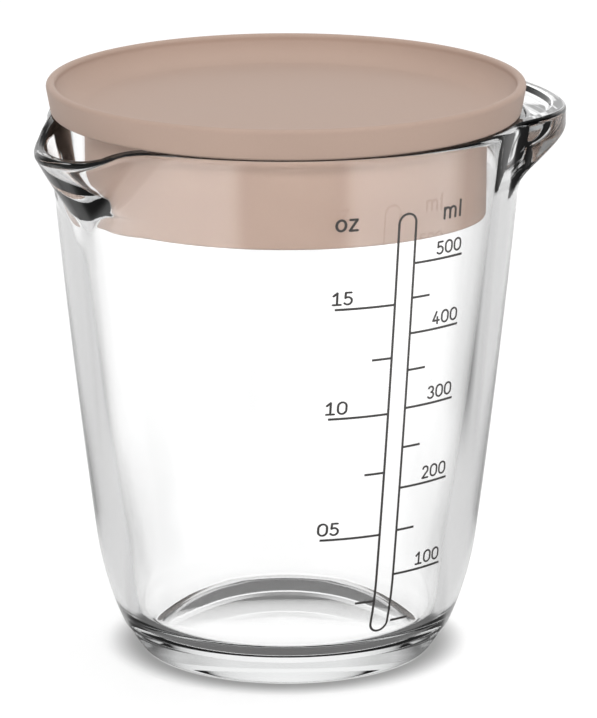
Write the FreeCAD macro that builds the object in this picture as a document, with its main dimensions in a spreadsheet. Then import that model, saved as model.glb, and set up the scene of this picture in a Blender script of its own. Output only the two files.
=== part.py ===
import FreeCAD, Part
import Sketcher
import math
import os

# Glass measuring jug for mixing baby formula, with a lift-off lid and a printed scale.
# The jug stands on its flat underside. Origin: centre of the foot, on the surface it stands on.
# +Z is up, the spout points along -X, the grip along +X, and the scale faces -Y.

doc = FreeCAD.newDocument("formula_pitcher")

# ---------------------------------------------------------------------------
# Driving dimensions, in millimetres, millilitres and degrees
# ---------------------------------------------------------------------------
DIMENSIONS = [
    # glass jug, outside
    ("rim_height", "124.6"),         # top of the glass rim
    ("rim_radius", "53.9"),          # outside of the rim
    ("flank_height", "27"),          # where the straight flank ends and the heel begins
    ("flank_radius", "43.6"),
    ("flank_arc", "2200"),           # the flank is very slightly barrelled
    ("heel_height", "6.3"),          # mould line between heel and bevel
    ("heel_inset", "5.8"),           # mould line inside the flank's foot
    ("heel_arc", "74"),
    ("foot_inset", "4.4"),           # edge of the flat underside inside the mould line
    ("heel_rounding", "1.5"),
    ("foot_rounding", "0.8"),
    ("rim_rounding", "1.3"),
    # glass jug, inside
    ("floor_height", "7"),           # top of the glass floor
    ("floor_inset", "4.2"),          # where the wall would meet the floor, inside its flank
    ("floor_rounding", "8"),
    ("flank_wall", "6.7"),           # glass thickness at the flank's foot
    ("rim_wall", "5.4"),             # glass thickness at the rim
    ("inner_heel_arc", "144"),
    ("inner_flank_arc", "1320"),
    # spout
    ("spout_overhang", "9.5"),       # tip of the spout beyond the rim, at rim height
    ("spout_tip_arc", "22"),
    ("spout_side_angle", "45"),      # how far the tip's arc reaches round to each side
    ("spout_root_angle", "25.7"),    # where the sides leave the wall
    ("spout_mid_drop", "10.6"),      # second section below the rim
    ("spout_mid_overhang", "4.1"),
    ("spout_mid_arc", "17"),
    ("spout_mid_angle", "16.1"),
    ("spout_chin_drop", "21.6"),     # lowest section, inside the wall
    ("spout_chin_arc", "10"),
    ("spout_chin_side", "30"),
    ("spout_chin_angle", "13"),
    ("spout_lip", "4.2"),            # glass thickness of the spout
    ("spout_bury", "0.5"),           # how far the spout's sides start inside the wall
    ("spout_floor_drop", "17.6"),    # where the channel runs out in the wall
    ("channel_root_angle", "29.5"),
    ("channel_mid_angle", "17.7"),
    ("channel_foot_angle", "12"),
    ("lip_dip", "4.1"),              # how far the lip falls in an S towards the tip
    ("lip_dip_inset", "7.6"),        # how far inside the rim's radius the fall begins
    ("lip_dip_run", "14.2"),         # length of the S, measured level
    ("lip_slope", "0.04"),           # fall of the last straight bit, per unit of length
    # grip
    ("grip_half_width", "38.3"),
    ("grip_end_arc", "60"),
    ("grip_overhang", "11"),         # outer edge of the grip beyond the rim
    ("grip_corner", "28.5"),
    ("grip_edge", "3.9"),            # thickness of the outer edge
    ("grip_root_depth", "15.2"),     # how far the grip runs down the wall
    ("grip_under_arc", "42"),
    ("grip_rounding", "1.2"),
    ("grip_border", "3.2"),          # raised border round the thumb recess
    ("grip_recess", "1.3"),
    ("grip_recess_slope", "-40"),    # the recess narrows downwards
    # lid
    ("lid_rise", "7"),               # top of the lid's rim above its seat
    ("lid_overhang", "0.25"),        # lid's radius beyond the glass rim
    ("lid_taper", "1.25"),           # how much narrower the lid's rim is at its bottom edge
    ("lid_rim_width", "2.3"),
    ("lid_rim_rounding", "1"),
    ("lid_edge_rounding", "0.8"),
    ("lid_floor", "1.3"),            # plate thickness over the glass
    ("lid_dish_width", "7.4"),
    ("lid_dish_sag", "1.31"),        # hollowing of the curved wall round the dish
    ("lid_dish_drop", "1.2"),        # top of the dish curve below the lid's top
    ("skirt_gap", "3.1"),            # from the skirt to the inside of the glass rim
    ("skirt_wall", "2"),
    ("skirt_depth", "21"),
    ("skirt_rounding", "0.5"),
    ("lid_seat_gap", "0.1"),         # clearance between lid and glass rim
    # printed scale
    ("ink_thickness", "0.12"),
    ("ink_line", "0.5"),
    ("column_half_width", "2.4"),
    ("column_top_drop", "13"),       # top of the column below the rim
    ("column_bottom", "12.7"),
    ("column_gap", "0.1"),
    ("long_tick", "15.9"),
    ("short_tick", "6.9"),
    ("ml_step", "50"),
    ("ml_top", "500"),
    ("oz_step", "2.5"),
    ("oz_top", "15"),
    ("ounce", "29.5735"),            # millilitres in one fluid ounce
    ("gauge_start", "3.6"),          # height of the foot of the mean cone that sets out the marks
    ("gauge_inset", "0.84"),         # the mean cone's foot, inside the flank
    ("gauge_growth", "0.0941"),      # and how its radius grows with height
]

sheet = doc.addObject("Spreadsheet::Sheet", "Sizes")
for row, (alias, value) in enumerate(DIMENSIONS, start=1):
    sheet.set("A%d" % row, alias)
    sheet.set("B%d" % row, value)
    sheet.setAlias("B%d" % row, alias)
doc.recompute()


class Size:
    """A length with its value and the sheet expression that gives it."""

    def __init__(self, value, text):
        self.value = float(value)
        self.text = text

    def combined(self, sign, other, value):
        other_text = other.text if isinstance(other, Size) else repr(other)
        return Size(value, "(%s %s %s)" % (self.text, sign, other_text))

    def __add__(self, other):
        return self.combined("+", other, self.value + number(other))

    def __sub__(self, other):
        return self.combined("-", other, self.value - number(other))

    def __mul__(self, other):
        return self.combined("*", other, self.value * number(other))

    def __truediv__(self, other):
        return self.combined("/", other, self.value / number(other))

    def __neg__(self):
        return Size(-self.value, "(0 - %s)" % self.text)


def number(item):
    return item.value if isinstance(item, Size) else float(item)


def size(alias):
    return Size(sheet.get(alias), "Sizes.%s" % alias)


def root_of(item):
    return Size(math.sqrt(item.value), "sqrt(%s)" % item.text)


def cosine(angle):
    return Size(math.cos(math.radians(angle.value)), "cos(%s * 1 deg)" % angle.text)


def sine(angle):
    return Size(math.sin(math.radians(angle.value)), "sin(%s * 1 deg)" % angle.text)


ZERO = Size(0, "0")


# ---------------------------------------------------------------------------
# Sketch and feature helpers
# ---------------------------------------------------------------------------
def new_body(label):
    body = doc.addObject("PartDesign::Body", label)
    body.Label = label
    return body


def new_sketch(body, label, plane, lift=None):
    """A sketch on one of the body's own origin planes, raised by lift."""
    sketch = body.newObject("Sketcher::SketchObject", label)
    support = [f for f in body.Origin.OriginFeatures if f.Role == plane][0]
    sketch.AttachmentSupport = [(support, "")]
    sketch.MapMode = "FlatFace"
    if lift is not None:
        sketch.setExpression("AttachmentOffset.Base.z", lift.text)
    return sketch


def fix_point(sketch, geometry, end, point):
    """Ties one vertex to the sketch origin by its two named distances."""
    for kind, axis, item in (("DistanceX", -2, point[0]), ("DistanceY", -1, point[1])):
        if item is ZERO:
            sketch.addConstraint(Sketcher.Constraint("PointOnObject", geometry, end, axis))
            continue
        if item.value < 0:
            index = sketch.addConstraint(
                Sketcher.Constraint(kind, geometry, end, -1, 1, -item.value))
            text = "0 - %s" % item.text
        else:
            index = sketch.addConstraint(
                Sketcher.Constraint(kind, -1, 1, geometry, end, item.value))
            text = item.text
        sketch.setExpression("Constraints[%d]" % index, text)


def draw_outline(sketch, points, arcs=None):
    """A closed outline through the points; arcs maps a side's index to (radius, bulge side)."""
    arcs = arcs or {}
    corners = [FreeCAD.Vector(p[0].value, p[1].value, 0) for p in points]
    first_ends = []
    last_ends = []
    sides = []
    for i, start in enumerate(corners):
        finish = corners[(i + 1) % len(corners)]
        if i in arcs:
            radius, side = arcs[i]
            chord = finish - start
            sagitta = radius.value - math.sqrt(radius.value ** 2 - (chord.Length / 2) ** 2)
            normal = FreeCAD.Vector(chord.y, -chord.x, 0).normalize() * (sagitta * side)
            index = sketch.addGeometry(Part.Arc(start, start + chord / 2 + normal, finish), False)
            forward = sketch.getPoint(index, 1).distanceToPoint(start) < 1e-6
            sketch.setExpression(
                "Constraints[%d]" % sketch.addConstraint(
                    Sketcher.Constraint("Radius", index, radius.value)),
                radius.text)
        else:
            index = sketch.addGeometry(Part.LineSegment(start, finish), False)
            forward = True
        sides.append(index)
        first_ends.append(1 if forward else 2)
        last_ends.append(2 if forward else 1)
    for i, index in enumerate(sides):
        following = (i + 1) % len(sides)
        sketch.addConstraint(Sketcher.Constraint(
            "Coincident", index, last_ends[i], sides[following], first_ends[following]))
        fix_point(sketch, index, first_ends[i], points[i])
    return sketch


def revolve(body, label, sketch, subtract=False):
    kind = "PartDesign::Groove" if subtract else "PartDesign::Revolution"
    feature = body.newObject(kind, label)
    feature.Profile = sketch
    feature.ReferenceAxis = (sketch, ["V_Axis"])
    feature.Angle = 360
    doc.recompute()
    return feature


def circle_edges(body, point):
    """Names of the body's edges that lie on the level circle through a (radius, height)."""
    names = []
    for i, edge in enumerate(body.Shape.Edges, start=1):
        at_height = all(abs(v.Z - point[1].value) < 0.01 for v in edge.Vertexes)
        at_radius = all(
            abs(math.hypot(v.X, v.Y) - point[0].value) < 0.01 for v in edge.Vertexes)
        if at_height and at_radius:
            names.append("Edge%d" % i)
    return names


def round_edges(body, label, edges, radius):
    base = body.Tip
    feature = body.newObject("PartDesign::Fillet", label)
    feature.Base = (base, edges)
    feature.setExpression("Radius", radius.text)
    doc.recompute()
    return feature


def pad(body, label, sketch, length, downwards=False, both_ways=False):
    feature = body.newObject("PartDesign::Pad", label)
    feature.Profile = sketch
    feature.setExpression("Length", length.text)
    feature.Reversed = downwards
    if both_ways:
        feature.SideType = "Symmetric"
    doc.recompute()
    return feature


def loft(body, label, sketches):
    feature = body.newObject("PartDesign::AdditiveLoft", label)
    feature.Profile = sketches[0]
    feature.Sections = sketches[1:]
    doc.recompute()
    return feature


def joined(label, pieces):
    feature = doc.addObject("Part::MultiFuse", label)
    feature.Label = label
    feature.Shapes = pieces
    return feature


def cut(label, base, tool):
    feature = doc.addObject("Part::Cut", label)
    feature.Label = label
    feature.Base = base
    feature.Tool = tool
    return feature


def common(label, base, tool):
    feature = doc.addObject("Part::Common", label)
    feature.Label = label
    feature.Base = base
    feature.Tool = tool
    return feature


# ---------------------------------------------------------------------------
# Places that several pieces share
# ---------------------------------------------------------------------------
rim_top = size("rim_height")
flank = (size("flank_radius"), size("flank_height"))
heel = (size("flank_radius") - size("heel_inset"), size("heel_height"))
foot_radius = heel[0] - size("foot_inset")
rim = (size("rim_radius"), rim_top)
spout_reach = size("rim_radius") + size("spout_overhang")
spout_mid_reach = size("rim_radius") + size("spout_mid_overhang")
grip_reach = size("rim_radius") + size("grip_overhang")
inner_flank = (size("flank_radius") - size("flank_wall"), size("flank_height"))
floor_radius = inner_flank[0] - size("floor_inset")
inner_rim_radius = size("rim_radius") - size("rim_wall")
lid_base = rim_top + size("lid_seat_gap")


def along_flank(low_radius, high_radius, drop):
    """Radius of the straight line from flank to rim, at a drop below the rim."""
    share = drop / (rim_top - size("flank_height"))
    return high_radius - (high_radius - low_radius) * share


# ---------------------------------------------------------------------------
# Glass jug: the outside of the bowl, turned about the jug's axis
# ---------------------------------------------------------------------------
bowl = new_body("bowl_outside")
bowl_sketch = new_sketch(bowl, "bowl_section", "XZ_Plane")
draw_outline(
    bowl_sketch,
    [
        (ZERO, ZERO),
        (foot_radius, ZERO),
        heel,
        flank,
        rim,
        (ZERO, rim_top),
    ],
    {2: (size("heel_arc"), 1), 3: (size("flank_arc"), 1)},
)
revolve(bowl, "bowl_turned", bowl_sketch)
round_edges(bowl, "rim_edge", circle_edges(bowl, rim), size("rim_rounding"))
round_edges(bowl, "heel_edge", circle_edges(bowl, heel), size("heel_rounding"))
round_edges(bowl, "foot_edge", circle_edges(bowl, (foot_radius, ZERO)),
            size("foot_rounding"))

# ---------------------------------------------------------------------------
# Glass jug: the hollow, with a rounded floor corner and a rounded mouth
# ---------------------------------------------------------------------------
hollow = new_body("hollow")
hollow_sketch = new_sketch(hollow, "hollow_section", "XZ_Plane")
mouth_radius = inner_rim_radius + size("rim_rounding")
above_rim = rim_top + size("rim_rounding")
draw_outline(
    hollow_sketch,
    [
        (ZERO, size("floor_height")),
        (floor_radius, size("floor_height")),
        inner_flank,
        (inner_rim_radius, rim_top - size("rim_rounding")),
        (mouth_radius, rim_top),
        (mouth_radius, above_rim),
        (ZERO, above_rim),
    ],
    {
        1: (size("inner_heel_arc"), 1),
        2: (size("inner_flank_arc"), 1),
        3: (size("rim_rounding"), -1),
    },
)
revolve(hollow, "hollow_turned", hollow_sketch)
round_edges(hollow, "floor_corner",
            circle_edges(hollow, (floor_radius, size("floor_height"))),
            size("floor_rounding"))


# ---------------------------------------------------------------------------
# Glass jug: the spout, a beak lofted between level sections, and its channel
# ---------------------------------------------------------------------------
def beak_section(body, label, drop, tip, side_angle, root):
    """A level section: two sides that leave the wall at the root and run onto a round tip."""
    sketch = new_sketch(body, label, "XY_Plane", rim_top - drop)
    reach, tip_arc = tip
    root_radius, root_angle = root
    root_x = -(root_radius * cosine(root_angle))
    root_y = root_radius * sine(root_angle)
    tip_x = -(reach - tip_arc + tip_arc * cosine(side_angle))
    tip_y = tip_arc * sine(side_angle)
    return draw_outline(
        sketch,
        [(root_x, -root_y), (root_x, root_y), (tip_x, tip_y), (tip_x, -tip_y)],
        {2: (tip_arc, 1)},
    )


def outer_root(drop):
    return along_flank(size("flank_radius"), size("rim_radius"), drop) - size("spout_bury")


def inner_root(drop):
    return along_flank(inner_flank[0], inner_rim_radius, drop) - size("spout_bury")


spout_lip = size("spout_lip")
mid_drop = size("spout_mid_drop")
chin_drop = size("spout_chin_drop")
channel_drop = size("spout_floor_drop")
chin_reach = outer_root(chin_drop)
channel_reach = inner_root(channel_drop)

spout = new_body("spout_outside")
loft(spout, "spout_loft", [
    beak_section(spout, "spout_top", ZERO,
                 (spout_reach, size("spout_tip_arc")),
                 size("spout_side_angle"),
                 (outer_root(ZERO), size("spout_root_angle"))),
    beak_section(spout, "spout_middle", mid_drop,
                 (spout_mid_reach, size("spout_mid_arc")),
                 size("spout_side_angle"),
                 (outer_root(mid_drop), size("spout_mid_angle"))),
    beak_section(spout, "spout_chin", chin_drop,
                 (chin_reach, size("spout_chin_arc")),
                 size("spout_chin_side"),
                 (chin_reach, size("spout_chin_angle"))),
])

channel = new_body("spout_channel")
channel_top = beak_section(
    channel, "channel_top", ZERO,
    (spout_reach - spout_lip, size("spout_tip_arc") - spout_lip),
    size("spout_side_angle"),
    (inner_root(ZERO), size("channel_root_angle")))
loft(channel, "channel_loft", [
    channel_top,
    beak_section(channel, "channel_middle", mid_drop,
                 (spout_mid_reach - spout_lip, size("spout_mid_arc") - spout_lip),
                 size("spout_side_angle"),
                 (inner_root(mid_drop), size("channel_mid_angle"))),
    beak_section(channel, "channel_foot", channel_drop,
                 (channel_reach, size("spout_chin_arc")),
                 size("spout_chin_side"),
                 (channel_reach, size("channel_foot_angle"))),
])
pad(channel, "channel_mouth", channel_top, size("rim_rounding"))

# The lip falls from the rim in an S of two equal arcs, then runs on at a gentle slope.
half_run = size("lip_dip_run") / 2
half_dip = size("lip_dip") / 2
dip_arc = (half_run * half_run + half_dip * half_dip) / (half_dip * 2)
dip_start = size("rim_radius") - size("lip_dip_inset")
dip_middle = dip_start + half_run
dip_end = dip_start + size("lip_dip_run")
cutter_reach = spout_reach + size("spout_lip")
cutter_drop = size("lip_dip") + (cutter_reach - dip_end) * size("lip_slope")
lip_cutter = new_body("lip_cutter")
lip_sketch = new_sketch(lip_cutter, "lip_side_view", "XZ_Plane")
draw_outline(
    lip_sketch,
    [
        (-dip_start, rim_top),
        (-dip_start, above_rim),
        (-cutter_reach, above_rim),
        (-cutter_reach, rim_top - cutter_drop),
        (-dip_end, rim_top - size("lip_dip")),
        (-dip_middle, rim_top - half_dip),
    ],
    {4: (dip_arc, 1), 5: (dip_arc, -1)},
)
pad(lip_cutter, "lip_cut", lip_sketch, size("rim_radius") * 2, both_ways=True)

# ---------------------------------------------------------------------------
# Glass jug: the grip, a wide ledge level with the rim and coved underneath
# ---------------------------------------------------------------------------
grip = new_body("grip")
grip_centre = grip_reach - size("grip_end_arc")
arc_gap = size("grip_end_arc") - size("grip_corner")
corner_side = size("grip_half_width") - size("grip_corner")
corner_ahead = root_of(arc_gap * arc_gap - corner_side * corner_side)


def ledge_plan(label, offset):
    """The grip seen from above, drawn in by an offset: a wide arc that runs into two corner arcs."""
    sketch = new_sketch(grip, label, "XY_Plane", rim_top)
    share = (size("grip_end_arc") - offset) / arc_gap
    side_x = grip_centre + corner_ahead
    side_y = size("grip_half_width") - offset
    meet_x = grip_centre + corner_ahead * share
    meet_y = corner_side * share
    corner = size("grip_corner") - offset
    return draw_outline(
        sketch,
        [(side_x, -side_y), (meet_x, -meet_y), (meet_x, meet_y), (side_x, side_y)],
        {0: (corner, 1), 1: (size("grip_end_arc") - offset, 1), 2: (corner, 1)},
    )


pad(grip, "grip_block", ledge_plan("grip_plan", ZERO), size("grip_root_depth"), downwards=True)

cove = new_sketch(grip, "cove_section", "XZ_Plane")
cove_inner = outer_root(size("grip_root_depth"))
cove_outer = grip_reach + size("rim_rounding")
cove_floor = rim_top - size("grip_root_depth") - size("grip_edge")
draw_outline(
    cove,
    [
        (cove_inner, cove_floor),
        (cove_outer, cove_floor),
        (cove_outer, rim_top - size("grip_edge")),
        (cove_inner, rim_top - size("grip_root_depth")),
    ],
    {2: (size("grip_under_arc"), 1)},
)
revolve(grip, "grip_cove", cove, subtract=True)

grip_top_edges = [
    "Edge%d" % i for i, edge in enumerate(grip.Shape.Edges, start=1)
    if all(abs(v.Z - rim_top.value) < 0.01 for v in edge.Vertexes)
    and edge.CenterOfMass.x > (grip_centre + corner_ahead).value + 0.01
]
round_edges(grip, "grip_top_edge", grip_top_edges, size("grip_rounding"))

# A shallow thumb recess in the grip's top, between the rim and a raised border.
recess = grip.newObject("PartDesign::Pocket", "thumb_recess")
recess.Profile = ledge_plan("recess_plan", size("grip_border"))
recess.setExpression("Length", "Sizes.grip_recess")
recess.setExpression("TaperAngle", "Sizes.grip_recess_slope")
doc.recompute()

glass_jug = cut(
    "glass_jug",
    joined("jug_outside", [bowl, spout, grip]),
    joined("jug_inside", [hollow, channel, lip_cutter]),
)

# ---------------------------------------------------------------------------
# Lid: one moulding, a dished plate with a thick rim and a skirt that hangs in the mouth
# ---------------------------------------------------------------------------
lid = new_body("lid")
lid_sketch = new_sketch(lid, "lid_section", "XZ_Plane")
lid_radius = size("rim_radius") + size("lid_overhang")
lid_edge_radius = lid_radius - size("lid_taper")
lid_top = lid_base + size("lid_rise")
plate_top = lid_base + size("lid_floor")
rim_inner_radius = lid_radius - size("lid_rim_width")
skirt_radius = inner_rim_radius - size("skirt_gap")
skirt_inner_radius = skirt_radius - size("skirt_wall")
skirt_end = lid_base - size("skirt_depth")
dish_rise = size("lid_rise") - size("lid_dish_drop") - size("lid_floor")
half_chord_squared = (size("lid_dish_width") * size("lid_dish_width") + dish_rise * dish_rise) / 4
dish_sag = size("lid_dish_sag")
dish_arc = (half_chord_squared + dish_sag * dish_sag) / (dish_sag * 2)
draw_outline(
    lid_sketch,
    [
        (ZERO, plate_top),
        (rim_inner_radius - size("lid_dish_width"), plate_top),
        (rim_inner_radius, lid_top - size("lid_dish_drop")),
        (rim_inner_radius, lid_top),
        (lid_radius, lid_top),
        (lid_edge_radius, lid_base),
        (skirt_radius, lid_base),
        (skirt_radius, skirt_end),
        (skirt_inner_radius, skirt_end),
        (skirt_inner_radius, lid_base),
        (ZERO, lid_base),
    ],
    {1: (dish_arc, 1)},
)
revolve(lid, "lid_turned", lid_sketch)
lid_top_edges = circle_edges(lid, (rim_inner_radius, lid_top)) \
    + circle_edges(lid, (lid_radius, lid_top))
round_edges(lid, "lid_rim_edges", lid_top_edges, size("lid_rim_rounding"))
round_edges(lid, "lid_lower_edge", circle_edges(lid, (lid_edge_radius, lid_base)),
            size("lid_edge_rounding"))
skirt_edges = circle_edges(lid, (skirt_radius, skirt_end)) \
    + circle_edges(lid, (skirt_inner_radius, skirt_end))
round_edges(lid, "skirt_edges", skirt_edges, size("skirt_rounding"))

# ---------------------------------------------------------------------------
# Printed scale: thin fired ink on the outside of the wall
# ---------------------------------------------------------------------------
ink_skin = new_body("ink_skin")
ink_sketch = new_sketch(ink_skin, "ink_section", "XZ_Plane")
ink = size("ink_thickness")
draw_outline(
    ink_sketch,
    [
        heel,
        flank,
        rim,
        (rim[0] + ink, rim[1]),
        (flank[0] + ink, flank[1]),
        (heel[0] + ink, heel[1]),
    ],
    {
        0: (size("heel_arc"), 1),
        1: (size("flank_arc"), 1),
        3: (size("flank_arc"), -1),
        4: (size("heel_arc"), -1),
    },
)
revolve(ink_skin, "ink_turned", ink_sketch)
print_reach = size("rim_radius") + ink * 2


def stamp_bar(label, low_x, high_x, low_z, high_z):
    """A bar that runs out along -Y from the axis and marks the skin where it passes."""
    bar = doc.addObject("Part::Box", label)
    bar.setExpression("Length", (high_x - low_x).text)
    bar.setExpression("Width", print_reach.text)
    bar.setExpression("Height", (high_z - low_z).text)
    bar.setExpression("Placement.Base.x", low_x.text)
    bar.setExpression("Placement.Base.y", (-print_reach).text)
    bar.setExpression("Placement.Base.z", low_z.text)
    return bar


def stamp_round(label, radius, height):
    """A round bar along -Y at a height."""
    rod = doc.addObject("Part::Cylinder", label)
    rod.setExpression("Radius", radius.text)
    rod.setExpression("Height", print_reach.text)
    rod.setExpression("Placement.Base.z", height.text)
    rod.Placement.Rotation = FreeCAD.Rotation(FreeCAD.Vector(1, 0, 0), 90)
    return rod


def stamp_slot(label, half, low, high):
    """A bar with round ends, as the outline of a thermometer has."""
    return joined(label, [
        stamp_bar(label + "_bar", -half, half, low + half, high - half),
        stamp_round(label + "_foot", half, low + half),
        stamp_round(label + "_head", half, high - half),
    ])


column_top = rim_top - size("column_top_drop")
column_outer = stamp_slot("column_outer", size("column_half_width"),
                          size("column_bottom"), column_top)
column_inner = stamp_slot("column_inner", size("column_half_width") - size("ink_line"),
                          size("column_bottom") + size("ink_line"),
                          column_top - size("ink_line"))
column_print = common("column_print", ink_skin, cut("column_ring", column_outer, column_inner))


MM3_PER_ML = 1000


def mark_height(volume):
    """Height at which the mean cone of the hollow holds a volume in millilitres."""
    growth = size("gauge_growth")
    start = inner_flank[0] - size("gauge_inset")
    cubed = volume * MM3_PER_ML * growth * 3 / math.pi + start * start * start
    swept = Size(cubed.value ** (1 / 3), "cbrt(%s)" % cubed.text)
    return size("gauge_start") + (swept - start) / growth


def tick(label, side, length, volume):
    """One level line of the scale, from the column outwards to one side."""
    middle = mark_height(volume)
    near = size("column_half_width") + size("column_gap")
    low_x, high_x = (near, length) if side > 0 else (-length, -near)
    return stamp_bar(label, low_x, high_x,
                     middle - size("ink_line") / 2, middle + size("ink_line") / 2)


def scale_print(label, side, step, top, unit, marks_per_long):
    """The ticks of one unit: every so many marks, counted from the top, is a long one."""
    count = round(top.value / step.value)
    ticks = []
    for number_up in range(1, count + 1):
        is_long = (count - number_up) % marks_per_long == 0
        length = size("long_tick") if is_long else size("short_tick")
        volume = step * unit * number_up
        ticks.append(tick("%s_%d" % (label, number_up), side, length, volume))
    return common(label, ink_skin, joined(label + "_stamp", ticks))


ml_print = scale_print("millilitre_print", 1, size("ml_step"), size("ml_top"), 1, 2)
oz_print = scale_print("ounce_print", -1, size("oz_step"), size("oz_top"), size("ounce"), 2)
doc.recompute()

# ---------------------------------------------------------------------------
# Check and write out
# ---------------------------------------------------------------------------
for item in doc.Objects:
    if "Invalid" in item.State or "Error" in item.State:
        raise RuntimeError("%s did not build: %s" % (item.Label, item.State))

os.makedirs("parts", exist_ok=True)
for item in (glass_jug, lid, column_print, ml_print, oz_print):
    shape = item.Shape
    if shape.isNull() or not shape.isValid() or not shape.Solids:
        raise RuntimeError("%s has no sound solid" % item.Label)
    shape.exportStep("parts/%s.step" % item.Label)
    print("%s: %d solids, %.1f mm3" % (item.Label, len(shape.Solids), shape.Volume))
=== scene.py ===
import math

import bmesh
import bpy
import numpy as np
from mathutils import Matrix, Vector


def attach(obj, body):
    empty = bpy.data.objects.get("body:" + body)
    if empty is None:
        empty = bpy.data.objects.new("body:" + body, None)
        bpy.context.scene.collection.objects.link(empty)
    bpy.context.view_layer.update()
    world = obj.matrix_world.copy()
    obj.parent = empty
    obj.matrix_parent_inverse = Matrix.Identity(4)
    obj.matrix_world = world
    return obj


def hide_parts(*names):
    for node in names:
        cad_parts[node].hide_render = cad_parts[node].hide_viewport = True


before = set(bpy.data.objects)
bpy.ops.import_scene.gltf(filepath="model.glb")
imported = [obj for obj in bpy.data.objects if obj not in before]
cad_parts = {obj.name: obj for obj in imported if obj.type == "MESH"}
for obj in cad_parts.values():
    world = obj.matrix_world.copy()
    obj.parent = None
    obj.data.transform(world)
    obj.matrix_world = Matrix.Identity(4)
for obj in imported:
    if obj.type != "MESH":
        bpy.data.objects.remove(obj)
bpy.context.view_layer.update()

# ---------------------------------------------------------------------------
# The set: a white table and a white room with soft lamps. None of it belongs
# to the pitcher. Glass takes its look from what stands round it, so the room
# is white at eye level and darker higher up, as a studio's ceiling is.
# ---------------------------------------------------------------------------
scene = bpy.context.scene
scene.view_settings.view_transform = "Standard"

camera_turn = math.radians(30.2)
camera_rise = math.radians(14.93)
camera_distance = 1.1403
pitcher_middle = Vector((0, 0, 0.0666))
camera_data = bpy.data.cameras.new("camera")
camera_data.sensor_width = 36
camera_data.lens = 250.7
camera_data.clip_start = 0.05
camera_data.clip_end = 50
camera = bpy.data.objects.new("camera", camera_data)
scene.collection.objects.link(camera)
camera.location = pitcher_middle + camera_distance * Vector((
    -math.sin(camera_turn) * math.cos(camera_rise),
    -math.cos(camera_turn) * math.cos(camera_rise),
    math.sin(camera_rise)))
aim = pitcher_middle + 0.00279 * Vector((math.cos(camera_turn), -math.sin(camera_turn), 0))
camera.rotation_euler = (aim - camera.location).to_track_quat("-Z", "Y").to_euler()
scene.camera = camera


def add_node(tree, kind, inputs=None, **settings):
    """A new node with its settings made and its inputs given a value or a link."""
    node = tree.nodes.new(kind)
    for key, value in settings.items():
        setattr(node, key, value)
    for key, value in (inputs or {}).items():
        if isinstance(value, bpy.types.NodeSocket):
            tree.links.new(value, node.inputs[key])
        else:
            node.inputs[key].default_value = value
    return node


def calculate(tree, operation, *values):
    """The result of a Math node."""
    node = add_node(tree, "ShaderNodeMath", dict(enumerate(values)), operation=operation)
    return node.outputs[0]


# How bright the studio is, by degrees round the pitcher from the camera's side, plus to the
# right. Straight through the glass its sides are greyer than its back and front; mirrored in
# the glass there are two soft boxes, with a dark gap between them.
full_white = 1.24          # over white, so that the glass between stays white too
far_spread = 0.9           # things far off stand a little further round than near ones
shown_straight = [
    (-180, 1.0), (-165, 1.0), (-150, 0.96), (-142, 0.91), (-137, 0.86), (-132, 0.78),
    (-127, 0.68), (-122, 0.56), (-114, 0.42), (-95, 0.42), (-60, 1.0), (60, 1.0), (95, 0.42),
    (114, 0.42), (122, 0.56), (127, 0.68), (132, 0.78), (137, 0.86), (142, 0.91),
    (150, 0.96), (165, 1.0), (180, 1.0)]
shown_mirrored = [
    (-180, 1.0), (-165, 1.0), (-154, 0.78), (-123, 0.74), (-117, 0.45), (-111, 0.72),
    (-109, 0.73), (-98, 1.7), (-27, 1.7),
    (-19, 0.22), (26, 0.22), (34, 1.6), (86, 1.6), (94, 0.2), (120, 0.2), (128, 0.76),
    (154, 0.78), (165, 1.0), (180, 1.0)]


def by_angle(tree, place, spread, stops):
    """A brightness that changes with the angle of a place round the pitcher."""
    ahead, aside = (
        add_node(tree, "ShaderNodeVectorMath", {0: place, 1: way},
                 operation="DOT_PRODUCT").outputs["Value"]
        for way in ((-math.sin(camera_turn), -math.cos(camera_turn), 0),
                    (math.cos(camera_turn), -math.sin(camera_turn), 0)))
    turned = calculate(tree, "ARCTAN2", aside, ahead)
    share = calculate(tree, "MULTIPLY_ADD", calculate(tree, "MULTIPLY", turned, spread),
                      0.5 / math.pi, 0.5)
    ramp = add_node(tree, "ShaderNodeValToRGB", {0: share})
    elements = ramp.color_ramp.elements
    elements.remove(elements[1])
    for i, (angle, bright) in enumerate(stops):
        position = angle / 360 + 0.5
        element = elements[0] if i == 0 else elements.new(position)
        element.position = position
        element.color = (bright / 2, bright / 2, bright / 2, 1)
    return calculate(tree, "MULTIPLY", ramp.outputs[0], 2.0)


def blend(tree, share, first, second):
    """A value that goes from the first to the second with a share."""
    return add_node(tree, "ShaderNodeMix", {0: share, 2: first, 3: second},
                    data_type="FLOAT").outputs[0]


def past(tree, count):
    """1 once a count of the light's path is above nought."""
    return calculate(tree, "GREATER_THAN", count, 0.5)


def ramp_value(tree, value, low, high, at_low, at_high):
    """A value that eases from one to another between two ends."""
    return add_node(tree, "ShaderNodeMapRange", {
        "Value": value, "From Min": low, "From Max": high, "To Min": at_low,
        "To Max": at_high}, interpolation_type="SMOOTHSTEP").outputs[0]


world = bpy.data.worlds.new("room")
world.use_nodes = True
scene.world = world
room = world.node_tree
room.nodes.clear()
looking = add_node(room, "ShaderNodeTexCoord").outputs["Generated"]
height = add_node(room, "ShaderNodeSeparateXYZ", {0: looking}).outputs[2]
path = add_node(room, "ShaderNodeLightPath")
straight = calculate(room, "MULTIPLY", full_white,
                     by_angle(room, looking, far_spread, shown_straight))
mirrored = by_angle(room, looking, 1.0, shown_mirrored)
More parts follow.
